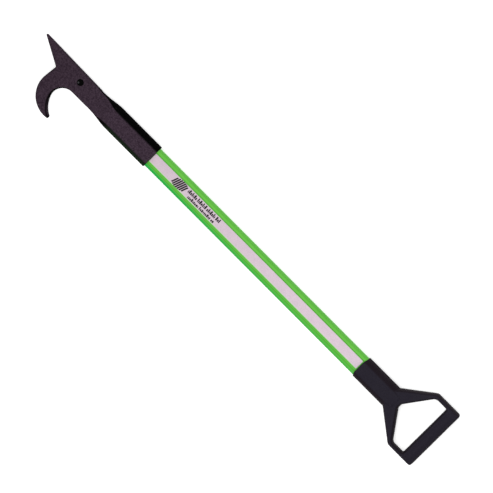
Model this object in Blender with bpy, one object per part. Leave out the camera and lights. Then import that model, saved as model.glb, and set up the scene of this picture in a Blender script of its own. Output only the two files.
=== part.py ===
"""Firefighter's pole hook with a D grip, modelled lying on its back.

A forged head (pike and hook) is bonded and pinned on one end of a dog-bone fibreglass pole, and a moulded
D-shaped handle on the other.  +X runs from the head to the handle, the hook points to -Y, the front with the
label strip faces +Z, and the origin is below the middle of the box that holds the whole tool.
The pieces are modelled in millimetres and place_all() turns them into metres at the end.
"""
import math

import bmesh
import bpy
from mathutils import Matrix, Vector

# ---- driving dimensions (mm) ----
LENGTH = 914.4              # point of the pike to the far side of the grip: a nominal 36 in tool
HALF_DEPTH = 14.0           # socket and collar: middle plane to the flat front and rear faces
CLEARANCE = 0.3             # gap between two pieces that touch
FIT = 0.25                  # gap on each side of a bond layer
HEAD_BORE = 0.9             # how far the socket's bore stands outside the pole's skin
HANDLE_BORE = -0.45         # the same in the collar, where the skin is trimmed away

# hook head, distances measured from the point of the pike
HEAD_LENGTH = 263.0
BLADE_HALF = 18.0           # half width of the blade between hook and socket
BLADE_RISE = 2.15           # the back of the blade climbs this much from there to the pike
BLADE_THICKNESS = 10.0
EDGE_BREAK = 0.9            # small bevel round the blade's edges
HOOK_RADIUS = 44.2          # outer arc of the hook
HOOK_CENTRE = (89.4, -34.7)
NOTCH = (48.1, -7.0)        # corner between the pike and the hook
NOTCH_RADIUS = 2.0
THROAT_RADIUS = 22.4        # inner arc of the hook
THROAT_CENTRE_X = 96.0
BEAK_RADIUS = 48.3          # flatter arc that follows it to the hook's tip
BEAK_START = 19.5           # angle at which the throat arc hands over to the beak arc
TIP_RADIUS = 2.6            # rounding of the hook's tip
PIKE_TIP_Y = 20.7           # the pike's point stands this far above the pole's axis
PIKE_TIP_DROP = 1.9         # height of its blunt end
PIKE_TAPER = 46.0           # the blade thins over this length towards the pike's point
PIKE_HALF_THICKNESS = 2.2
BEVEL_WIDTH = 3.2           # sharpened bevel along the inside of the hook
BEVEL_DROP = 3.0
SOCKET_HALF = 22.0
SOCKET_FACE = 12.3          # half width of the flat front face
MOUTH_BREAK = 0.4           # small bevel round the mouth
FLARE_START = 128.0         # blade thickens into the socket between these two
FLARE_END = 174.0
NECK_EDGE = 0.5             # at its thin end the neck's flat face is this much narrower than the neck
NECK_SINK = 0.3             # and this far inside the blade's face
SOCKET_BORE_DEPTH = 86.0
BORE_TAPER = 2.5            # the bore's floor is this much smaller all round
HOLE_X = 94.3               # plugged hole through the blade
HOLE_Y = 3.3
HOLE_RADIUS = 5.6

# pole
POLE_HALF = 19.0
POLE_HALF_DEPTH = 9.7
POLE_SIDE_RADIUS = 15.3
POLE_SIDE_TOP = 4.7         # the side arc ends this far below the top
POLE_CORNER = 3.5           # rounding where a lobe's side turns over to its top
WEB_HALF = 11.0
WEB_HALF_THICKNESS = 8.1
WEB_SLOPE = 0.8             # width of the slope from the web up to a lobe
WEB_RADIUS = 0.8
LOBE_RADIUS = 1.65
SKIN = 1.2
STRIP_HALF = 8.65
STRIP_SHIFT = 1.6           # the strips are stuck on this far towards the back of the hook
STRIP_THICKNESS = 0.35
STRIP_GAP = 0.25

# D handle, distances measured back from the far side of the grip
HANDLE_HALF = 59.6
HANDLE_MOUTH = 174.4
MOUTH_BOW = 54.0            # radius of the curve of the collar's mouth
COLLAR_HALF = 20.6
COLLAR_FACE = 10.2
COLLAR_BORE_DEPTH = 62.0
LIP_DEPTH = 10.0            # the pole's skin stops this deep in the collar
GRIP_WIDTH = 24.2
GRIP_HALF_DEPTH = 13.4
SIDE_BAR = 8.6
SIDE_HALF_DEPTH = 11.0
CROTCH = 80.8               # inside of the fork between the arms
CROTCH_HALF = 3.9           # half width of the fork's floor
ARM_START = 110.2           # the arms leave the collar
ARM_INSET = 7.5             # their edges start this far inside the collar's side
SHOULDER = 51.0             # outer corner where an arm turns into a side bar
INNER_SHOULDER = 47.6       # the same corner inside
SHOULDER_RADIUS = 10.0
GRIP_CORNER_RADIUS = 4.5
ARM_ROUND = 4.0             # how far the arms' edges are rounded in plan

# cross pins through the sides
PIN_RADIUS = 3.0
DRILL_REACH = 40.0
PIN_DOME = 0.5
PIN_SINK = 0.6              # the pins' ends stand this far inside the socket's and collar's sides
HEAD_PINS = (26.0, 62.0)    # depth in the socket
HANDLE_PINS = (24.0, 46.0)  # depth in the collar

AXIS_Y = (HOOK_RADIUS - HOOK_CENTRE[1] - HANDLE_HALF) / 2
MOUTH_X = HEAD_LENGTH
COLLAR_X = LENGTH - HANDLE_MOUTH
HEAD_PIN_X = [MOUTH_X - depth for depth in HEAD_PINS]
HANDLE_PIN_X = [COLLAR_X + depth for depth in HANDLE_PINS]
POLE_START = MOUTH_X - SOCKET_BORE_DEPTH + 3.5
POLE_END = COLLAR_X + COLLAR_BORE_DEPTH - 2.0


def smooth_step(value):
    """0 below 0, 1 above 1 and a smooth rise between."""
    value = min(max(value, 0.0), 1.0)
    return value * value * (3 - 2 * value)


# ---- outlines ----
def arc(centre, radius, start, end, steps):
    """Points on an arc, angles in degrees, both ends included."""
    points = []
    for step in range(steps + 1):
        angle = math.radians(start + (end - start) * step / steps)
        points.append((centre[0] + radius * math.cos(angle), centre[1] + radius * math.sin(angle)))
    return points


def rounded(corners, steps=4):
    """Polygon from (x, y, fillet radius) corners; a corner with radius 0 stays sharp."""
    points = []
    count = len(corners)
    for i, (x, y, radius) in enumerate(corners):
        here = Vector((x, y))
        before = (Vector(corners[i - 1][:2]) - here).normalized()
        after = (Vector(corners[(i + 1) % count][:2]) - here).normalized()
        if radius == 0:
            points.append((x, y))
            continue
        half = before.angle(after) / 2
        reach = radius / math.tan(half)
        centre = here + (before + after).normalized() * (radius / math.sin(half))
        first = here + before * reach - centre
        turn = first.angle_signed(here + after * reach - centre)
        for step in range(steps + 1):
            angle = -turn * step / steps
            spoke = Vector((first.x * math.cos(angle) - first.y * math.sin(angle),
                            first.x * math.sin(angle) + first.y * math.cos(angle)))
            points.append(tuple(centre + spoke))
    return points


def grown(outline, amounts):
    """Outline moved outwards (counter-clockwise order) by one amount, or by one amount for each point."""
    if not isinstance(amounts, (list, tuple)):
        amounts = [amounts] * len(outline)
    moved = []
    for i, (x, y) in enumerate(outline):
        here = Vector((x, y))
        back = (here - Vector(outline[i - 1])).normalized()
        ahead = (Vector(outline[(i + 1) % len(outline)]) - here).normalized()
        normal = (Vector((back.y, -back.x)) + Vector((ahead.y, -ahead.x))).normalized()
        stretch = 1 / max(normal.dot(Vector((back.y, -back.x))), 0.5)
        moved.append(tuple(here + normal * amounts[i] * stretch))
    return moved


def mirrored(quarter):
    """Closed counter-clockwise outline from its first quadrant, given from the x side to the y side."""
    second = [(-x, y) for x, y in reversed(quarter)]
    third = [(-x, -y) for x, y in quarter]
    fourth = [(x, -y) for x, y in reversed(quarter)]
    outline = []
    for point in quarter + second + third + fourth:
        if not outline or math.dist(point, outline[-1]) > 0.01:
            outline.append(point)
    if math.dist(outline[0], outline[-1]) < 0.01:
        outline.pop()
    return outline


def sided(half, face, depth, steps=8):
    """First quadrant of a section: curved side from (half, 0) to a flat face that starts at (face, depth)."""
    reach = half - face
    radius = (reach ** 2 + depth ** 2) / (2 * reach)
    sweep = math.degrees(math.asin(min(depth / radius, 1.0)))
    return arc((half - radius, 0), radius, 0, sweep, steps)


def pole_side():
    """Side of the pole, and the corner where its lobe turns over to the top."""
    turn = math.asin((POLE_HALF_DEPTH - POLE_SIDE_TOP) / POLE_SIDE_RADIUS)
    side = arc((POLE_HALF - POLE_SIDE_RADIUS, 0), POLE_SIDE_RADIUS, 0, math.degrees(turn), 6)
    lean = POLE_SIDE_TOP * math.tan(turn)
    return side, (side[-1][0] - lean, POLE_HALF_DEPTH, POLE_CORNER)


def dog_bone():
    """Pole section in the (y, z) plane: two rounded lobes joined by a flat web."""
    side, corner = pole_side()
    inner_corner = (WEB_HALF + WEB_SLOPE, POLE_HALF_DEPTH, LOBE_RADIUS)
    guide = rounded([(*side[-1], 0), corner, inner_corner, (WEB_HALF, WEB_HALF_THICKNESS, WEB_RADIUS),
                     (0, WEB_HALF_THICKNESS, 0), (0, 0, 0)])
    return mirrored(side + guide[1:-2])


def bore_section(extra):
    """The pole's outer outline without the hollows beside the web, moved outwards by extra."""
    side, corner = pole_side()
    guide = rounded([(*side[-1], 0), corner, (0, POLE_HALF_DEPTH, 0), (0, 0, 0)])
    return grown(mirrored(side + guide[1:-2]), extra)


# ---- solids ----
def place_all():
    """Tool millimetres (x from the pike's point, y and z from the pole's axis) to metres in the world."""
    shift = Matrix.Translation((-LENGTH / 2, AXIS_Y, HALF_DEPTH))
    for obj in bpy.data.objects:
        obj.data.transform(Matrix.Scale(0.001, 4) @ shift)
        obj.data.update()


def solid(name, rings, material):
    """Closed solid through rings of (x, y, z) points, each with the same number of points."""
    mesh = bpy.data.meshes.new(name)
    bm = bmesh.new()
    layers = []
    for ring in rings:
        layers.append([bm.verts.new(point) for point in ring])
    for low, high in zip(layers, layers[1:]):
        for i in range(len(low)):
            j = (i + 1) % len(low)
            bm.faces.new((low[i], low[j], high[j], high[i]))
    bm.faces.new(list(reversed(layers[0])))
    bm.faces.new(layers[-1])
    bmesh.ops.recalc_face_normals(bm, faces=bm.faces)
    bm.normal_update()
    bmesh.ops.triangulate(bm, faces=bm.faces, ngon_method="EAR_CLIP")
    bm.to_mesh(mesh)
    bm.free()
    mesh.materials.append(material)
    obj = bpy.data.objects.new(name, mesh)
    bpy.context.scene.collection.objects.link(obj)
    return obj


def along_x(outline, x):
    return [(x, y, z) for y, z in outline]


def along_z(outline, z):
    return [(x, y, z) for x, y in outline]


def bar(name, outline, start, end, material):
    """Straight bar along X with the given (y, z) outline."""
    return solid(name, [along_x(outline, start), along_x(outline, end)], material)


def pin(name, x, radius, half_length, material, dome=0.0):
    """Round pin across the tool, along Y, with slightly domed ends."""
    circle = arc((0, 0), radius, 0, 360, 16)[:-1]
    rings = []
    levels = [(-half_length - dome, 0.55), (-half_length, 1.0), (half_length, 1.0), (half_length + dome, 0.55)]
    for y, scale in levels if dome else levels[1:3]:
        rings.append([(x + a * scale, y, b * scale) for a, b in circle])
    return solid(name, rings, material)


def boolean(target, tool, operation):
    """Apply one exact Boolean and remove the tool."""
    modifier = target.modifiers.new("cut", "BOOLEAN")
    modifier.operation = operation
    modifier.solver = "EXACT"
    modifier.object = tool
    depsgraph = bpy.context.evaluated_depsgraph_get()
    mesh = bpy.data.meshes.new_from_object(target.evaluated_get(depsgraph))
    mesh.name = target.name
    target.modifiers.clear()
    target.data = mesh
    bpy.data.objects.remove(tool)
    return target


def drill(target, x, material):
    """Hole across the tool for one cross pin."""
    boolean(target, pin("drill", x, PIN_RADIUS + CLEARANCE, DRILL_REACH, material), "DIFFERENCE")


def shade(obj, angle=35):
    obj.data.shade_smooth()
    obj.data.set_sharp_from_angle(angle=math.radians(angle))
    return obj


def paint(name, colour, roughness, metallic=0.0):
    material = bpy.data.materials.new(name)
    material.use_nodes = True
    shader = material.node_tree.nodes["Principled BSDF"]
    shader.inputs["Base Color"].default_value = (*colour, 1)
    shader.inputs["Roughness"].default_value = roughness
    shader.inputs["Metallic"].default_value = metallic
    return material


# ---- the pieces ----
def blade_outline():
    """Side view of the blade, counter-clockwise, as (x, y, bevel width, bevel drop) points."""
    beak_angle = math.radians(BEAK_START)
    throat = (THROAT_CENTRE_X, -BLADE_HALF - THROAT_RADIUS)
    lead = BEAK_RADIUS - THROAT_RADIUS
    beak = (throat[0] + lead * math.cos(beak_angle), throat[1] + lead * math.sin(beak_angle))
    # the tip's circle touches the hook's outer arc from inside and the beak arc from outside
    spread = math.dist(HOOK_CENTRE, beak)
    outer_reach = HOOK_RADIUS - TIP_RADIUS
    beak_reach = BEAK_RADIUS + TIP_RADIUS
    corner = math.acos((spread ** 2 + outer_reach ** 2 - beak_reach ** 2) / (2 * spread * outer_reach))
    bearing = math.atan2(beak[1] - HOOK_CENTRE[1], beak[0] - HOOK_CENTRE[0]) - corner
    tip = (HOOK_CENTRE[0] + outer_reach * math.cos(bearing), HOOK_CENTRE[1] + outer_reach * math.sin(bearing))
    turn = math.degrees(math.atan2(beak[1] - tip[1], beak[0] - tip[0]))
    outer_end = math.degrees(bearing)

    butt = FLARE_START + 12     # the blade ends here, inside the neck
    pike = [(2.2, PIKE_TIP_Y + 0.9), (0.6, PIKE_TIP_Y + 0.7), (0.0, PIKE_TIP_Y)]
    back = [(butt, -BLADE_HALF + 1.5), (butt, BLADE_HALF - 1.5), (FLARE_START, BLADE_HALF + 0.4),
            (PIKE_TAPER, BLADE_HALF + BLADE_RISE)]
    outside = arc(HOOK_CENTRE, HOOK_RADIUS, 176, 360 + outer_end, 26)
    pike_low = (0.3, PIKE_TIP_Y - PIKE_TIP_DROP, 0)
    notch = [pike_low[:2]] + rounded([pike_low, (*NOTCH, NOTCH_RADIUS), (*outside[0], 0)])[1:-1]
    nose = arc(tip, TIP_RADIUS, outer_end, turn, 6)[1:]
    beak_arc = arc(beak, BEAK_RADIUS, 180 + turn, 180 + BEAK_START, 10)[1:]
    throat_arc = arc(throat, THROAT_RADIUS, 180 + BEAK_START, 90, 15)[1:]

    outline = [(x, y, 0.0, EDGE_BREAK) for x, y in pike]
    outline = [(x, y, EDGE_BREAK, EDGE_BREAK) for x, y in [(FLARE_START, -BLADE_HALF)] + back] + outline
    outline += [(x, y, EDGE_BREAK, EDGE_BREAK) for x, y in notch + outside + nose]
    inside = beak_arc + throat_arc
    for i, (x, y) in enumerate(inside):
        share = min(1.0, (i + 2) / 4, (len(inside) - 1 - i) / 12)
        width = EDGE_BREAK + (BEVEL_WIDTH - EDGE_BREAK) * share
        outline.append((x, y, width, EDGE_BREAK + (BEVEL_DROP - EDGE_BREAK) * share))
    return outline


def make_blade(steel):
    """Flat blade: chamfered edges, a wide sharpened bevel inside the hook, and a pike that thins to its point."""
    outline = blade_outline()
    full = BLADE_THICKNESS / 2
    edge = [(x, y) for x, y, width, drop in outline]
    face = grown(edge, [-width for x, y, width, drop in outline])
    rings = [[], [], [], []]
    for (x, y), (face_x, face_y), (_, _, _, drop) in zip(edge, face, outline):
        half = PIKE_HALF_THICKNESS + (full - PIKE_HALF_THICKNESS) * min(x / PIKE_TAPER, 1.0)
        rings[0].append((face_x, face_y, -half))
        rings[1].append((x, y, -half + drop))
        rings[2].append((x, y, half - drop))
        rings[3].append((face_x, face_y, half))
    return solid("hook_head", rings, steel)


def socket_section(x):
    """Section of the neck and socket at x: blade-like at first, then the full socket."""
    share = (x - FLARE_START) / (FLARE_END - FLARE_START)
    depth_share = smooth_step(share)
    width_share = smooth_step((share - 0.15) / 0.85)
    face_share = smooth_step((share - 0.3) / 0.7)
    half = BLADE_HALF + (SOCKET_HALF - BLADE_HALF) * width_share
    face = BLADE_HALF - NECK_EDGE + (SOCKET_FACE - BLADE_HALF + NECK_EDGE) * face_share
    thin = BLADE_THICKNESS / 2 - NECK_SINK
    depth = thin + (HALF_DEPTH - thin) * depth_share
    return mirrored(sided(half, face, depth))


def make_head(steel):
    head = make_blade(steel)
    stations = [FLARE_START + (FLARE_END - FLARE_START) * step / 10 for step in range(11)]
    stations += [HEAD_LENGTH - MOUTH_BREAK]
    rings = [along_x(socket_section(x), x) for x in stations]
    mouth = grown(socket_section(HEAD_LENGTH), -MOUTH_BREAK)
    rings.append(along_x(mouth, HEAD_LENGTH))
    boolean(head, solid("neck", rings, steel), "UNION")
    bore = bore_section(HEAD_BORE)
    rings = [along_x(grown(bore, -BORE_TAPER), MOUTH_X - SOCKET_BORE_DEPTH)]
    rings.append(along_x(bore, MOUTH_X - SOCKET_BORE_DEPTH + 3))
    rings.append(along_x(bore, MOUTH_X + 5))
    boolean(head, solid("bore", rings, steel), "DIFFERENCE")
    hole = arc((HOLE_X, HOLE_Y), HOLE_RADIUS, 0, 360, 24)[:-1]
    boolean(head, solid("hole", [along_z(hole, -HALF_DEPTH), along_z(hole, HALF_DEPTH)], steel), "DIFFERENCE")
    for x in HEAD_PIN_X:
        drill(head, x, steel)
    return shade(head, 25)


def make_plug(black):
    """Domed plug that closes the hole through the blade."""
    inside = HOLE_RADIUS - CLEARANCE
    half = BLADE_THICKNESS / 2
    rings = []
    for height, radius in ((-half - 0.4, inside * 0.55), (-half, inside), (half, inside),
                           (half + 0.8, inside * 0.8), (half + 1.1, inside * 0.4)):
        rings.append(along_z(arc((HOLE_X, HOLE_Y), radius, 0, 360, 24)[:-1], height))
    return shade(solid("blade_plug", rings, black), 40)


def make_pole(core_glass, skin_green):
    outer = dog_bone()
    core_outline = grown(outer, -SKIN - CLEARANCE)
    core = bar("pole_core", core_outline, POLE_START, POLE_END, core_glass)
    for x in HEAD_PIN_X + HANDLE_PIN_X:
        drill(core, x, core_glass)
    shade(core)
    skin = bar("pole_skin", outer, POLE_START, COLLAR_X + LIP_DEPTH, skin_green)
    boolean(skin, bar("hollow", grown(outer, -SKIN), 0, LENGTH, skin_green), "DIFFERENCE")
    for x in HEAD_PIN_X:
        drill(skin, x, skin_green)
    shade(skin)


def make_strips(pale):
    """Label strips in both hollows of the pole."""
    low = WEB_HALF_THICKNESS + STRIP_GAP
    high = low + STRIP_THICKNESS
    start = MOUTH_X + CLEARANCE
    end = COLLAR_X - CLEARANCE
    lower = STRIP_SHIFT - STRIP_HALF
    upper = STRIP_SHIFT + STRIP_HALF
    sheet = rounded([(start, lower, 1), (end, lower, 1), (end, upper, 1), (start, upper, 1)], 3)
    solid("front_strip", [along_z(sheet, low), along_z(sheet, high)], pale)
    solid("rear_strip", [along_z(sheet, -high), along_z(sheet, -low)], pale)


def make_bond(name, start, end, inner, extra, pins, resin):
    """Resin between the pole and a bore, with its pin holes."""
    bond = bar(name, bore_section(extra), start, end, resin)
    boolean(bond, bar("hollow", inner, start - 10, end + 10, resin), "DIFFERENCE")
    for x in pins:
        drill(bond, x, resin)
    return shade(bond)


def make_collar(plastic):
    """Collar with a bowed mouth; its end runs into the fork of the arms."""
    shoulder = LENGTH - 103.0
    fork = LENGTH - CROTCH - 3
    rings = []
    for x, half, face, depth in ((COLLAR_X, COLLAR_HALF - 0.2, COLLAR_FACE - 0.1, HALF_DEPTH - 0.2),
                                 (COLLAR_X + 0.8, COLLAR_HALF, COLLAR_FACE, HALF_DEPTH),
                                 (COLLAR_X + 20, COLLAR_HALF, COLLAR_FACE, HALF_DEPTH),
                                 (shoulder - 14, COLLAR_HALF, COLLAR_FACE, HALF_DEPTH),
                                 (shoulder, COLLAR_HALF, COLLAR_FACE, HALF_DEPTH),
                                 (shoulder + 12, COLLAR_HALF - 1, COLLAR_FACE - 1, HALF_DEPTH - 0.7),
                                 (fork, COLLAR_HALF - 4, COLLAR_FACE - 2.6, HALF_DEPTH - 3.4)):
        outline = mirrored(sided(half, face, depth))
        bow = 1 - smooth_step((x - COLLAR_X - 1) / 60)
        rings.append([(x + bow * y * y / (2 * MOUTH_BOW), y, z) for y, z in outline])
    return solid("d_handle", rings, plastic)


def fork_outlines():
    """Outer outline of the D from its shoulders on, and the outline of its finger opening."""
    end = LENGTH
    side = HANDLE_HALF
    root = COLLAR_HALF - ARM_INSET
    outer = rounded([(end, -side, GRIP_CORNER_RADIUS), (end, side, GRIP_CORNER_RADIUS),
                     (end - SHOULDER, side, SHOULDER_RADIUS), (end - ARM_START, root, 0),
                     (end - ARM_START, -root, 0), (end - SHOULDER, -side, SHOULDER_RADIUS)], 5)
    inner_side = HANDLE_HALF - SIDE_BAR
    grip = end - GRIP_WIDTH
    opening = rounded([(grip, -inner_side, 2), (grip, inner_side, 2), (end - INNER_SHOULDER, inner_side, 9),
                       (end - CROTCH, CROTCH_HALF, 6.5), (end - CROTCH, -CROTCH_HALF, 6.5),
                       (end - INNER_SHOULDER, -inner_side, 9)], 5)
    return outer, opening


def pillow(name, outline, half_depth, edge, direction, material):
    """Plate whose edge is rounded: direction -1 pulls the faces in, +1 lets a cutter flare out."""
    rings = []
    steps = 4
    levels = [-1 + step / steps for step in range(2 * steps + 1)]
    for level in levels:
        bend = edge * (1 - math.sqrt(max(1 - level * level, 0.0)))
        ring = grown(outline, direction * bend)
        rings.append([(x, y, level * half_depth(x)) for x, y in ring])
    if direction > 0:
        rings = [along_z([(p[0], p[1]) for p in rings[0]], -30)] + rings
        rings.append(along_z([(p[0], p[1]) for p in rings[-1]], 30))
    return solid(name, rings, material)


def arm_depth(x):
    """Half depth of the fork: deep at the shoulders, shallow along the side bars."""
    return SIDE_HALF_DEPTH + (HALF_DEPTH - 1.2 - SIDE_HALF_DEPTH) * (1 - smooth_step((x - LENGTH + 100) / 45))


def make_handle(plastic):
    handle = make_collar(plastic)
    outer, opening = fork_outlines()
    fork = pillow("fork", outer, arm_depth, ARM_ROUND, -1, plastic)
    boolean(fork, pillow("opening", opening, arm_depth, 3.6, 1, plastic), "DIFFERENCE")
    boolean(handle, fork, "UNION")
    grip_rings = []
    for y, scale in ((-HANDLE_HALF + 2.5, 0.80), (-HANDLE_HALF + 5.5, 0.93), (-HANDLE_HALF + 11, 0.985),
                     (HANDLE_HALF - 11, 0.985), (HANDLE_HALF - 5.5, 0.93), (HANDLE_HALF - 2.5, 0.80)):
        section = arc((0, 0), 1, 0, 360, 28)[:-1]
        middle = LENGTH - GRIP_WIDTH / 2
        grip_rings.append([(middle + a * scale * (GRIP_WIDTH / 2), y, b * scale * GRIP_HALF_DEPTH)
                           for a, b in section])
    boolean(handle, solid("grip", grip_rings, plastic), "UNION")
    lip = grown(dog_bone(), CLEARANCE)
    boolean(handle, bar("lip", lip, COLLAR_X - 10, COLLAR_X + LIP_DEPTH + 1, plastic), "DIFFERENCE")
    bore = bore_section(HANDLE_BORE)
    boolean(handle, bar("bore", bore, COLLAR_X + LIP_DEPTH, COLLAR_X + COLLAR_BORE_DEPTH, plastic), "DIFFERENCE")
    for x in HANDLE_PIN_X:
        drill(handle, x, plastic)
    return shade(handle, 30)


def main():
    for obj in list(bpy.data.objects):
        bpy.data.objects.remove(obj)
    steel = paint("black_coated_steel", (0.04, 0.03, 0.038), 0.55, 0.0)
    black = paint("black_plug", (0.008, 0.008, 0.008), 0.35)
    plastic = paint("black_nylon", (0.02, 0.016, 0.022), 0.5)
    green = paint("lime_fibreglass", (0.13, 0.48, 0.06), 0.4)
    glass = paint("pale_fibreglass", (0.55, 0.55, 0.4), 0.6)
    pale = paint("pale_strip", (0.65, 0.55, 0.62), 0.5)
    resin = paint("epoxy", (0.5, 0.45, 0.3), 0.4)
    pin_steel = paint("pin_steel", (0.1, 0.1, 0.1), 0.4, 1.0)
    make_head(steel)
    make_plug(black)
    make_pole(glass, green)
    make_strips(pale)
    pole_outline = grown(dog_bone(), FIT)
    core_outline = grown(dog_bone(), -SKIN - CLEARANCE + FIT)
    make_bond("head_bond", POLE_START, MOUTH_X - 0.5, pole_outline, HEAD_BORE - FIT, HEAD_PIN_X, resin)
    make_bond("handle_bond", COLLAR_X + LIP_DEPTH + 1.5, POLE_END, core_outline, HANDLE_BORE - FIT,
              HANDLE_PIN_X, resin)
    make_handle(plastic)
    for number, x in enumerate(HEAD_PIN_X, 1):
        shade(pin(f"head_pin_{number}", x, PIN_RADIUS, SOCKET_HALF - PIN_SINK, pin_steel, PIN_DOME))
    for number, x in enumerate(HANDLE_PIN_X, 1):
        shade(pin(f"handle_pin_{number}", x, PIN_RADIUS, COLLAR_HALF - PIN_SINK, pin_steel, PIN_DOME))
    place_all()


main()
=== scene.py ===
"""Looks of the pole hook: black forged head, lime dog-bone pole with a pale strip, black D grip.

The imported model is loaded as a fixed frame.  Pieces whose shape only needed a finish keep their CAD mesh, and
the head, the D handle and the plug are rebuilt from theirs as finer meshes with rolled edges.
Lengths are metres; MM turns millimetres into metres.
"""
import math

import bmesh
import bpy
from mathutils import Matrix, Vector


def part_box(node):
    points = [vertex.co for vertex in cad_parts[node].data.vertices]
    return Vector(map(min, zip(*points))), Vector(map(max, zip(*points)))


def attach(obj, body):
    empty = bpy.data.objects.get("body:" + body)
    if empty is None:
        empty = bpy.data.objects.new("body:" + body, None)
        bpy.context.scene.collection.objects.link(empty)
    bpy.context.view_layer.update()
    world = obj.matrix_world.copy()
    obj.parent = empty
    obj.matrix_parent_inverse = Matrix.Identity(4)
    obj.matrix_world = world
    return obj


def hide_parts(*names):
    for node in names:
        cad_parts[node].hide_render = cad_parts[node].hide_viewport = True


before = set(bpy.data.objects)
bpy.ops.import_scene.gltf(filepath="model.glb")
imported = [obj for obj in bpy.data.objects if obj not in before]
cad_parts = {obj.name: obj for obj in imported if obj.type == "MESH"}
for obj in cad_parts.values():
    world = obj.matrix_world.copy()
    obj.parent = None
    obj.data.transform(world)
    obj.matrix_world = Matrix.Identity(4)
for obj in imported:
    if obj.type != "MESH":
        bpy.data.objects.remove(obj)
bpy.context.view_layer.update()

MM = 0.001

# ---- places taken from the frame ----
head_low, head_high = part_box("hook_head")
skin_low, skin_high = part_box("pole_skin")
strip_low, strip_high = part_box("front_strip")
plug_low, plug_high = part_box("blade_plug")
AXIS_Y = (skin_low.y + skin_high.y) / 2
MID_Z = (skin_low.z + skin_high.z) / 2
MOUTH_X = head_high.x
COLLAR_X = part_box("d_handle")[0].x
BEAK_RADIUS = 48.3 * MM       # inner arc of the hook next to its tip
BEAK_CENTRE = (head_low.x + 120.4 * MM, AXIS_Y - 31.8 * MM)
FLARE_X = head_low.x + 128 * MM     # the blade starts to thicken into the socket here
SOCKET_X = head_low.x + 174 * MM    # and the socket is full from here
PLUG_CENTRE = (plug_low + plug_high) / 2

# ---- marks on the strip ----
BADGE_X = MOUTH_X + 61.5 * MM
BADGE_HALF_LENGTH = 15.5 * MM
BADGE_HALF_HEIGHT = 8.6 * MM
SLATS = 7
SLAT_STEP = 3.7 * MM
SLAT_WIDTH = 2.8 * MM
SLAT_LEAN = 0.35
MARK_LIFT = 0.01 * MM
MARK_THICKNESS = 0.05 * MM
BLOCK_WIDTH = 1.5 * MM
BLOCK_WIDTH_STEP = 0.45 * MM
BLOCK_RISES = (0.62, 0.80, 0.62, 1.0, 0.62, 0.70)
BLOCK_GAP = 0.65 * MM
WORD_GAP = 2.2 * MM


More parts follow.
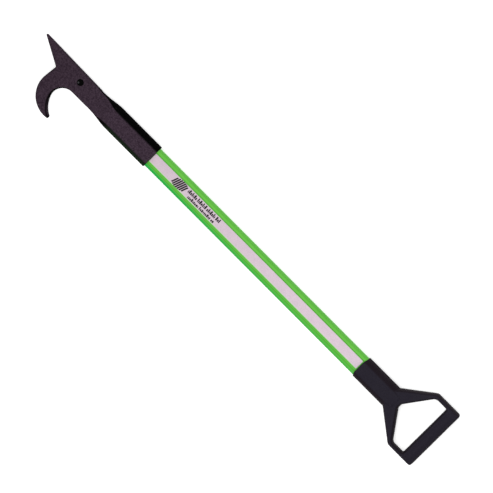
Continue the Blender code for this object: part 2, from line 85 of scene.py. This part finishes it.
# ---- node helpers ----
class Nodes:
    """Short way to build a material's node tree."""

    def __init__(self, name):
        self.material = bpy.data.materials.new(name)
        self.material.use_nodes = True
        self.tree = self.material.node_tree
        self.shader = self.tree.nodes["Principled BSDF"]
        self.place = self.add("ShaderNodeTexCoord").outputs["Object"]

    def add(self, kind, **settings):
        node = self.tree.nodes.new(kind)
        for key, value in settings.items():
            setattr(node, key, value)
        return node

    def wire(self, source, target):
        self.tree.links.new(source, target)

    def stretched(self, scale):
        """Object coordinates with a separate scale for each axis."""
        mapping = self.add("ShaderNodeMapping")
        mapping.inputs["Scale"].default_value = scale
        self.wire(self.place, mapping.inputs["Vector"])
        return mapping.outputs["Vector"]

    def noise(self, scale, detail=2.0, rough=0.5, vector=None):
        node = self.add("ShaderNodeTexNoise")
        node.inputs["Scale"].default_value = scale
        node.inputs["Detail"].default_value = detail
        node.inputs["Roughness"].default_value = rough
        self.wire(vector or self.place, node.inputs["Vector"])
        return node.outputs["Fac"]

    def ramp(self, source, *stops):
        """Colour ramp; each stop is (position, value or colour)."""
        node = self.add("ShaderNodeValToRGB")
        elements = node.color_ramp.elements
        while len(elements) < len(stops):
            elements.new(0.5)
        for element, (position, value) in zip(elements, stops):
            colour = value if isinstance(value, (tuple, list)) else (value, value, value)
            element.position = position
            element.color = (*colour, 1)
        self.wire(source, node.inputs["Fac"])
        return node.outputs["Color"]

    def blend(self, amount, low, high, mode="MIX"):
        """Mix two colours; each is a colour or a socket, and amount is a number or a socket."""
        node = self.add("ShaderNodeMix", data_type="RGBA", blend_type=mode)
        for value, socket in ((amount, node.inputs[0]), (low, node.inputs[6]), (high, node.inputs[7])):
            if isinstance(value, bpy.types.NodeSocket):
                self.wire(value, socket)
            elif isinstance(value, (tuple, list)):
                socket.default_value = (*value, 1)
            else:
                socket.default_value = value
        return node.outputs[2]

    def span(self, source, start, full):
        """Smooth 0 to 1 as the source goes from start to full."""
        node = self.add("ShaderNodeMapRange", interpolation_type="SMOOTHSTEP")
        node.inputs["From Min"].default_value = start
        node.inputs["From Max"].default_value = full
        self.wire(source, node.inputs["Value"])
        return node.outputs["Result"]

    def math(self, operation, first, second=0.0):
        node = self.add("ShaderNodeMath", operation=operation)
        for value, socket in zip((first, second), node.inputs):
            if isinstance(value, bpy.types.NodeSocket):
                self.wire(value, socket)
            else:
                socket.default_value = value
        return node.outputs[0]

    def facing(self, direction, start, full, both=False):
        """0 to 1 as the surface turns to face a direction of the tool, or with both also its opposite."""
        dot = self.add("ShaderNodeVectorMath", operation="DOT_PRODUCT")
        self.wire(self.add("ShaderNodeTexCoord").outputs["Normal"], dot.inputs[0])
        dot.inputs[1].default_value = direction
        size = dot.outputs["Value"]
        if both:
            size = self.math("ABSOLUTE", size)
        return self.span(size, start, full)

    def along(self, axis, start, full):
        """0 to 1 between two places along an axis of the tool."""
        split = self.add("ShaderNodeSeparateXYZ")
        self.wire(self.place, split.inputs[0])
        return self.span(split.outputs[axis], start, full)

    def reach(self, x, y):
        """Distance from an upright line through a place of the tool."""
        flat = self.add("ShaderNodeVectorMath", operation="MULTIPLY")
        self.wire(self.place, flat.inputs[0])
        flat.inputs[1].default_value = (1, 1, 0)
        gap = self.add("ShaderNodeVectorMath", operation="DISTANCE")
        self.wire(flat.outputs[0], gap.inputs[0])
        gap.inputs[1].default_value = (x, y, 0)
        return gap.outputs["Value"]

    def convex(self, start, full):
        """0 to 1 towards worn outer edges of a fine mesh."""
        return self.span(self.add("ShaderNodeNewGeometry").outputs["Pointiness"], start, full)

    def bump(self, *layers):
        """Stack of bumps, each (height socket, distance in metres, strength)."""
        normal = None
        for height, distance, strength in layers:
            node = self.add("ShaderNodeBump")
            node.inputs["Distance"].default_value = distance
            node.inputs["Strength"].default_value = strength
            self.wire(height, node.inputs["Height"])
            if normal:
                self.wire(normal, node.inputs["Normal"])
            normal = node.outputs["Normal"]
        self.wire(normal, self.shader.inputs["Normal"])

    def finish(self, colour, roughness, **numbers):
        for value, key in ((colour, "Base Color"), (roughness, "Roughness")):
            socket = self.shader.inputs[key]
            if isinstance(value, bpy.types.NodeSocket):
                self.wire(value, socket)
            else:
                socket.default_value = (*value, 1) if isinstance(value, tuple) else value
        for key, value in numbers.items():
            self.shader.inputs[key.replace("_", " ")].default_value = value
        return self.material


# ---- materials ----
def powder_coat():
    """Textured brown-black powder coat, brownish on the flat faces; painted shade makes the side walls deep
    black, with painted light on the blade's top side and a painted green reflection under the socket.
    """
    n = Nodes("powder_coat")
    blotch = n.noise(400, 4, 0.8)
    speckle = n.noise(1100, 2, 0.7)
    face = n.ramp(blotch, (0.37, (0.0080, 0.0035, 0.0080)), (0.63, (0.0570, 0.0375, 0.0535)))
    spots = n.ramp(speckle, (0.32, (0.008, 0.004, 0.008)), (0.68, (0.066, 0.044, 0.062)))
    face = n.blend(0.3, face, spots)
    # the blade is a little darker towards the pike and the hook
    face = n.blend(n.along("X", head_low.x + 20 * MM, head_low.x + 190 * MM),
                   n.blend(1.0, face, (0.88, 0.87, 0.87), "MULTIPLY"), face)
    # painted shade along the inner edge of the hook, dark to the tip
    band = n.span(n.reach(*BEAK_CENTRE), BEAK_RADIUS + 5.8 * MM, BEAK_RADIUS + 3.0 * MM)
    hook_edge_shade = n.math("MULTIPLY", band, n.along("Y", AXIS_Y - 42 * MM, AXIS_Y - 56 * MM))
    face = n.blend(hook_edge_shade, face, (0.0022, 0.0020, 0.0022))
    # painted shade: a near-black copy of the coat for the side faces of the head
    painted_wall_shading = n.ramp(blotch, (0.45, (0.0005, 0.0005, 0.0005)), (0.80, (0.0042, 0.0041, 0.0042)))
    # painted light: the top side of the blade ahead of the flare takes a lit dark-brown tone instead of the
    # near-black shade
    rolled = n.math("MULTIPLY", n.facing((0, 1, 0), 0.2, 0.7),
                    n.along("X", FLARE_X + 4 * MM, FLARE_X - 12 * MM))
    painted_wall_shading = n.blend(rolled, painted_wall_shading, (0.024, 0.016, 0.023))
    # painted reflection: a dark green tint from the pole on the downward faces of the socket
    painted_green_reflection = n.math("MULTIPLY", n.facing((0, -1, 0), 0.15, 0.75),
                        n.along("X", SOCKET_X - 9 * MM, SOCKET_X + 11 * MM))
    painted_green_reflection = n.math("MULTIPLY", painted_green_reflection, n.facing((0, 0, 1), 0.25, 0.6))
    painted_wall_shading = n.blend(painted_green_reflection, painted_wall_shading, (0.008, 0.016, 0.008))
    # flat front and back faces keep the coat's own colour, and the other faces take the painted shading
    colour = n.blend(n.facing((0, 0, 1), 0.86, 0.975, both=True), painted_wall_shading, face)
    rubbed = n.math("MULTIPLY", n.convex(0.53, 0.60), n.span(blotch, 0.42, 0.66))
    colour = n.blend(n.math("MULTIPLY", rubbed, 0.35), colour, (0.050, 0.044, 0.046))
    rough = n.ramp(speckle, (0.3, 0.78), (0.7, 0.95))
    n.bump((blotch, 0.12 * MM, 0.5), (speckle, 0.05 * MM, 0.6))
    return n.finish(colour, rough, Specular_IOR_Level=0.012)


def lime_fibreglass():
    """Satin lime skin with faint streaks along the pole; painted shade deepens it to a bluer green along its
    lower side, where it turns down.
    """
    n = Nodes("lime_fibreglass")
    streaks = n.noise(1, 3, 0.6, n.stretched((9, 420, 420)))
    cloud = n.noise(60, 2, 0.5, n.stretched((0.4, 1, 1)))
    colour = n.ramp(streaks, (0.3, (0.094, 0.394, 0.040)), (0.7, (0.122, 0.434, 0.053)))
    colour = n.blend(0.3, colour, n.ramp(cloud, (0.3, (0.088, 0.382, 0.040)), (0.7, (0.126, 0.436, 0.052))))
    # painted highlight: a slightly yellower, lighter line along the crest of each lobe, with the flanks a
    # little darker
    painted_crest_highlight = n.math("MAXIMUM",
                   n.math("MULTIPLY", n.along("Y", AXIS_Y + 11.3 * MM, AXIS_Y + 13.6 * MM),
                          n.along("Y", AXIS_Y + 16.6 * MM, AXIS_Y + 14.6 * MM)),
                   n.math("MULTIPLY", n.along("Y", AXIS_Y - 11.3 * MM, AXIS_Y - 13.2 * MM),
                          n.along("Y", AXIS_Y - 15.4 * MM, AXIS_Y - 13.8 * MM)))
    colour = n.blend(1.0, colour, n.blend(painted_crest_highlight, (0.83, 0.965, 0.85), (1.0, 1.0, 1.0)), "MULTIPLY")
    # painted shade: the lower side of the pole turns to a deeper, bluer green, a little less so towards the
    # handle
    painted_shade_side = n.along("Y", skin_low.y + 8.0 * MM, skin_low.y + 4.4 * MM)
    deep = n.blend(n.along("X", skin_low.x, skin_high.x), (0.004, 0.318, 0.046), (0.060, 0.366, 0.044))
    colour = n.blend(painted_shade_side, colour, deep)
    rough = n.ramp(streaks, (0.3, 0.38), (0.7, 0.50))
    n.bump((streaks, 0.05 * MM, 0.35))
    return n.finish(colour, rough, Specular_IOR_Level=0.08)


def strip_film():
    """Pale lavender label film with a fine mottle, a little lighter towards the handle, and a painted green
    highlight along its lower border.
    """
    n = Nodes("strip_film")
    mottle = n.noise(700, 2, 0.6)
    cloud = n.noise(90, 2, 0.5)
    colour = n.ramp(mottle, (0.3, (0.480, 0.380, 0.445)), (0.7, (0.610, 0.500, 0.575)))
    colour = n.blend(0.25, colour, n.ramp(cloud, (0.3, (0.48, 0.39, 0.46)), (0.7, (0.62, 0.51, 0.565))))
    # a little darker towards the head end, lighter towards the handle
    headward_darker = n.blend(1.0, colour, (0.905, 0.90, 0.90), "MULTIPLY")
    colour = n.blend(n.along("X", strip_low.x, strip_high.x), headward_darker, colour)
    # painted highlight: a lit green line along the lower border, standing in for the lobe's inner side catching
    # the light
    green = n.along("Y", strip_low.y + 1.6 * MM, strip_low.y + 0.1 * MM)
    colour = n.blend(green, colour, (0.42, 0.56, 0.34))
    n.bump((mottle, 0.02 * MM, 0.3))
    return n.finish(colour, 0.5, Specular_IOR_Level=0.2)


def moulded_nylon():
    """Moulded black nylon with a fine matt grain, with painted shade on its slopes."""
    n = Nodes("moulded_nylon")
    grain = n.noise(900, 3, 0.6)
    cloud = n.noise(45, 2, 0.5)
    colour = n.ramp(grain, (0.3, (0.0086, 0.0068, 0.0124)), (0.7, (0.0184, 0.0156, 0.0238)))
    # painted shade: a darker, redder copy of the nylon for the faces that turn away from the front
    shaded_slope = n.ramp(grain, (0.3, (0.0070, 0.0040, 0.0070)), (0.7, (0.0122, 0.0080, 0.0120)))
    on_collar = n.facing((0, 0, 1), 0.88, 0.985, both=True)
    on_grip = n.facing((0, 0, 1), 0.45, 0.92, both=True)
    past_collar = n.along("X", COLLAR_X + 62 * MM, COLLAR_X + 90 * MM)
    colour = n.blend(n.blend(past_collar, on_collar, on_grip), shaded_slope, colour)
    rubbed = n.math("MULTIPLY", n.convex(0.52, 0.58), n.span(cloud, 0.40, 0.62))
    colour = n.blend(n.math("MULTIPLY", rubbed, 0.35), colour, (0.030, 0.027, 0.031))
    rough = n.ramp(cloud, (0.3, 0.60), (0.7, 0.72))
    n.bump((grain, 0.05 * MM, 0.35))
    return n.finish(colour, rough, Specular_IOR_Level=0.06)


def plug_rubber():
    """Deep black rubber with a small painted highlight, a soft grey glint, on the hook side of the dome."""
    n = Nodes("plug_rubber")
    grain = n.noise(900, 2, 0.6)
    base = n.ramp(grain, (0.3, (0.0006, 0.0006, 0.0006)), (0.7, (0.0014, 0.0014, 0.0014)))
    # painted highlight: the grey of a small soft glint on the dome, a little to the hook side of its centre
    worn = n.ramp(grain, (0.3, (0.030, 0.030, 0.033)), (0.7, (0.052, 0.052, 0.056)))
    glint_reach = n.reach(PLUG_CENTRE.x - 2.3 * MM, PLUG_CENTRE.y - 2.0 * MM)
    painted_glint = n.span(glint_reach, 2.3 * MM, 0.5 * MM)
    n.bump((grain, 0.03 * MM, 0.3))
    return n.finish(n.blend(painted_glint, base, worn), 0.5, Specular_IOR_Level=0.01)


def plain(name, colour, roughness, grain_scale, spread=0.15, shine=0.5):
    """Simple finish with a fine grain, for small and hidden pieces."""
    n = Nodes(name)
    grain = n.noise(grain_scale, 2, 0.6)
    low = tuple(part * (1 - spread) for part in colour)
    high = tuple(part * (1 + spread) for part in colour)
    n.bump((grain, 0.03 * MM, 0.3))
    return n.finish(n.ramp(grain, (0.3, low), (0.7, high)), roughness, Specular_IOR_Level=shine)


# ---- finer meshes ----
def placed(name, mesh):
    """New piece in the scene."""
    piece = bpy.data.objects.new(name, mesh)
    bpy.context.scene.collection.objects.link(piece)
    return piece


def from_bmesh(name, bm, material):
    """New piece in the scene from a finished bmesh."""
    mesh = bpy.data.meshes.new(name)
    bm.to_mesh(mesh)
    bm.free()
    mesh.materials.append(material)
    return placed(name, mesh)


def refined(node, name, material, grid, passes):
    """Fine even copy of a CAD piece with softly rolled edges, kept inside the CAD piece's own box."""
    low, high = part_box(node)
    piece = placed(name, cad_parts[node].data.copy())
    remesh = piece.modifiers.new("even_grid", "REMESH")
    remesh.mode = "VOXEL"
    remesh.voxel_size = grid
    soften = piece.modifiers.new("rolled_edges", "SMOOTH")
    soften.factor = 0.5
    soften.iterations = passes
    depsgraph = bpy.context.evaluated_depsgraph_get()
    mesh = bpy.data.meshes.new_from_object(piece.evaluated_get(depsgraph))
    piece.modifiers.clear()
    piece.data = mesh
    mesh.name = name
    for vertex in mesh.vertices:
        for axis in range(3):
            vertex.co[axis] = min(max(vertex.co[axis], low[axis]), high[axis])
    mesh.shade_smooth()
    mesh.materials.clear()
    mesh.materials.append(material)
    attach(piece, "root")
    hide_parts(node)


def domed_plug(material):
    """Low black dome with a rolled rim and a sealing rib at mid depth, in place of the faceted plug."""
    low = plug_low
    high = plug_high
    centre = PLUG_CENTRE
    radius = (high.x - low.x) / 2
    rings = 14
    spokes = 40
    shoulder = radius * 0.86
    rim = high.z - 1.1 * MM
    seal = radius + 0.3 * MM
    profile = [(radius, low.z + 0.4 * MM), (radius, centre.z - 1.2 * MM), (seal, centre.z - 1.0 * MM),
               (seal, centre.z + 1.0 * MM), (radius, centre.z + 1.2 * MM), (radius, rim - 0.2 * MM)]
    for ring in range(rings):
        angle = math.radians(90 * ring / (rings - 1))
        reach = shoulder * math.cos(angle) + (radius - shoulder) * math.cos(angle) ** 6
        profile.append((max(reach, 0.02 * MM), rim + (high.z - rim) * math.sin(angle)))
    bm = bmesh.new()
    loops = []
    for reach, z in [(radius * 0.6, low.z)] + profile:
        loop = []
        for spoke in range(spokes):
            turn = 2 * math.pi * spoke / spokes
            place = (centre.x + reach * math.cos(turn), centre.y + reach * math.sin(turn), z)
            loop.append(bm.verts.new(place))
        loops.append(loop)
    for lower, upper in zip(loops, loops[1:]):
        for spoke in range(spokes):
            after = (spoke + 1) % spokes
            bm.faces.new((lower[spoke], lower[after], upper[after], upper[spoke]))
    bm.faces.new(list(reversed(loops[0])))
    bm.faces.new(loops[-1])
    piece = from_bmesh("plug_dome", bm, material)
    piece.data.shade_smooth()
    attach(piece, "root")
    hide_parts("blade_plug")


def plate(bm, corners, bottom, top):
    """Thin upright-sided plate over a polygon of (x, y) corners."""
    lower = [bm.verts.new((x, y, bottom)) for x, y in corners]
    upper = [bm.verts.new((x, y, top)) for x, y in corners]
    count = len(corners)
    for i in range(count):
        j = (i + 1) % count
        bm.faces.new((lower[i], lower[j], upper[j], upper[i]))
    bm.faces.new(list(reversed(lower)))
    bm.faces.new(upper)


def blocks(bm, start, end, middle, height, rhythm, bottom, top):
    """A row of plain blocks of uneven width and height, standing in for a line of print."""
    x = start
    step = 0
    while x < end - BLOCK_WIDTH:
        width = BLOCK_WIDTH + BLOCK_WIDTH_STEP * (rhythm * step % 4)
        rise = height * BLOCK_RISES[(rhythm * step) % len(BLOCK_RISES)]
        base = middle - height / 2
        x_end = min(x + width, end)
        plate(bm, [(x, base), (x_end, base), (x_end, base + rise), (x, base + rise)], bottom, top)
        step += 1
        x = x_end + (WORD_GAP if step % (rhythm + 4) == 0 else BLOCK_GAP)


def strip_marks(ink):
    """Generic print on the front strip: an oval badge with slanted bars, and two rows of plain blocks."""
    bottom = strip_high.z + MARK_LIFT
    top = bottom + MARK_THICKNESS
    middle = (strip_low.y + strip_high.y) / 2
    bm = bmesh.new()
    for slat in range(SLATS):
        offset = (slat - (SLATS - 1) / 2) * SLAT_STEP
        reach = BADGE_HALF_HEIGHT * math.sqrt(1 - (offset / BADGE_HALF_LENGTH) ** 2)
        lean = SLAT_LEAN * reach
        x = BADGE_X + offset
        plate(bm, [(x - lean, middle - reach), (x - lean + SLAT_WIDTH, middle - reach),
                   (x + lean + SLAT_WIDTH, middle + reach), (x + lean, middle + reach)], bottom, top)
    blocks(bm, MOUTH_X + 80 * MM, MOUTH_X + 153 * MM, middle + 3.7 * MM, 6.8 * MM, 3, bottom, top)
    blocks(bm, MOUTH_X + 86 * MM, MOUTH_X + 147 * MM, middle - 4.3 * MM, 5.4 * MM, 5, bottom, top)
    piece = from_bmesh("strip_marks", bm, ink)
    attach(piece, "root")


def dress(node, material):
    """Give a CAD node its finish."""
    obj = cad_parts[node]
    if not obj.material_slots:
        obj.data.materials.append(material)
    for slot in obj.material_slots:
        slot.material = material


# ---- stage ----
VIEW_ROLL = math.radians(12.56)     # the camera looks a little from the back of the hook
VIEW_TURN = math.radians(45.11)     # slope of the tool in the picture
FRAME_WIDTH = 0.8016                # width of the picture at the tool's middle
AIM_X = 16.55 * MM                  # the picture's centre, along the tool
AIM_ACROSS = 5.53 * MM              # and across it
LENS = 720.0
SENSOR = 36.0
KEY_DISTANCE = 2.5


def add_camera():
    """Long lens above the tool, so that the pike is at the upper left and the grip at the lower right."""
    toward = Vector((0, math.sin(VIEW_ROLL), math.cos(VIEW_ROLL)))
    across = Vector((0, math.cos(VIEW_ROLL), -math.sin(VIEW_ROLL)))
    along = Vector((1, 0, 0))
    right = along * math.cos(VIEW_TURN) + across * math.sin(VIEW_TURN)
    up = -along * math.sin(VIEW_TURN) + across * math.cos(VIEW_TURN)
    target = Vector((AIM_X, AXIS_Y, MID_Z)) + across * AIM_ACROSS
    camera = bpy.data.objects.new("camera", bpy.data.cameras.new("camera"))
    camera.data.lens = LENS
    camera.data.sensor_width = SENSOR
    camera.matrix_world = Matrix((right, up, toward)).transposed().to_4x4()
    camera.location = target + toward * (FRAME_WIDTH * LENS / SENSOR)
    camera.data.clip_end = 100
    bpy.context.scene.collection.objects.link(camera)
    bpy.context.scene.camera = camera
    return across, toward


def add_light(name, place, target, size, power):
    light = bpy.data.lights.new(name, "AREA")
    light.shape = "SQUARE"
    light.size = size
    light.energy = power
    obj = bpy.data.objects.new(name, light)
    obj.location = place
    obj.rotation_euler = (place - target).to_track_quat("Z", "Y").to_euler()
    bpy.context.scene.collection.objects.link(obj)


def add_stage():
    across, toward = add_camera()
    bpy.ops.mesh.primitive_plane_add(size=12)
    floor = bpy.context.object
    floor.name = "floor"
    n = Nodes("floor_paper")
    cloud = n.noise(3, 2, 0.5)
    n.finish(n.ramp(cloud, (0.3, 0.80), (0.7, 0.81)), 0.9, Specular_IOR_Level=0.0)
    n.shader.inputs["Emission Color"].default_value = (1, 1, 1, 1)
    n.shader.inputs["Emission Strength"].default_value = 0.45
    floor.data.materials.append(n.material)
    floor.location.z = -0.3 * MM      # just clear of the flat rests
    add_light("key", (toward * 0.98 - across * 0.18) * KEY_DISTANCE, Vector((0, 0, 0)), 2.6, 62)
    world = bpy.data.worlds.new("studio")
    world.use_nodes = True
    world.node_tree.nodes["Background"].inputs["Color"].default_value = (1, 1, 1, 1)
    world.node_tree.nodes["Background"].inputs["Strength"].default_value = 0.55
    bpy.context.scene.world = world
    bpy.context.scene.view_settings.view_transform = "Standard"


# ---- assembly ----
refined("hook_head", "head_shell", powder_coat(), 0.45 * MM, 3)
refined("d_handle", "handle_moulding", moulded_nylon(), 0.6 * MM, 7)
domed_plug(plug_rubber())
dress("pole_skin", lime_fibreglass())
film = strip_film()
dress("front_strip", film)
dress("rear_strip", film)
strip_marks(plain("mark_ink", (0.012, 0.010, 0.012), 0.6, 1500, 0.4, shine=0.1))
dress("pole_core", plain("core_glass", (0.52, 0.52, 0.38), 0.6, 600))
resin = plain("resin", (0.42, 0.37, 0.22), 0.35, 300)
for node in ("head_bond", "handle_bond"):
    dress(node, resin)
black_pin = plain("black_pin", (0.003, 0.003, 0.003), 0.7, 800, shine=0.015)
for node in ("head_pin_1", "head_pin_2", "handle_pin_1", "handle_pin_2"):
    dress(node, black_pin)
add_stage()
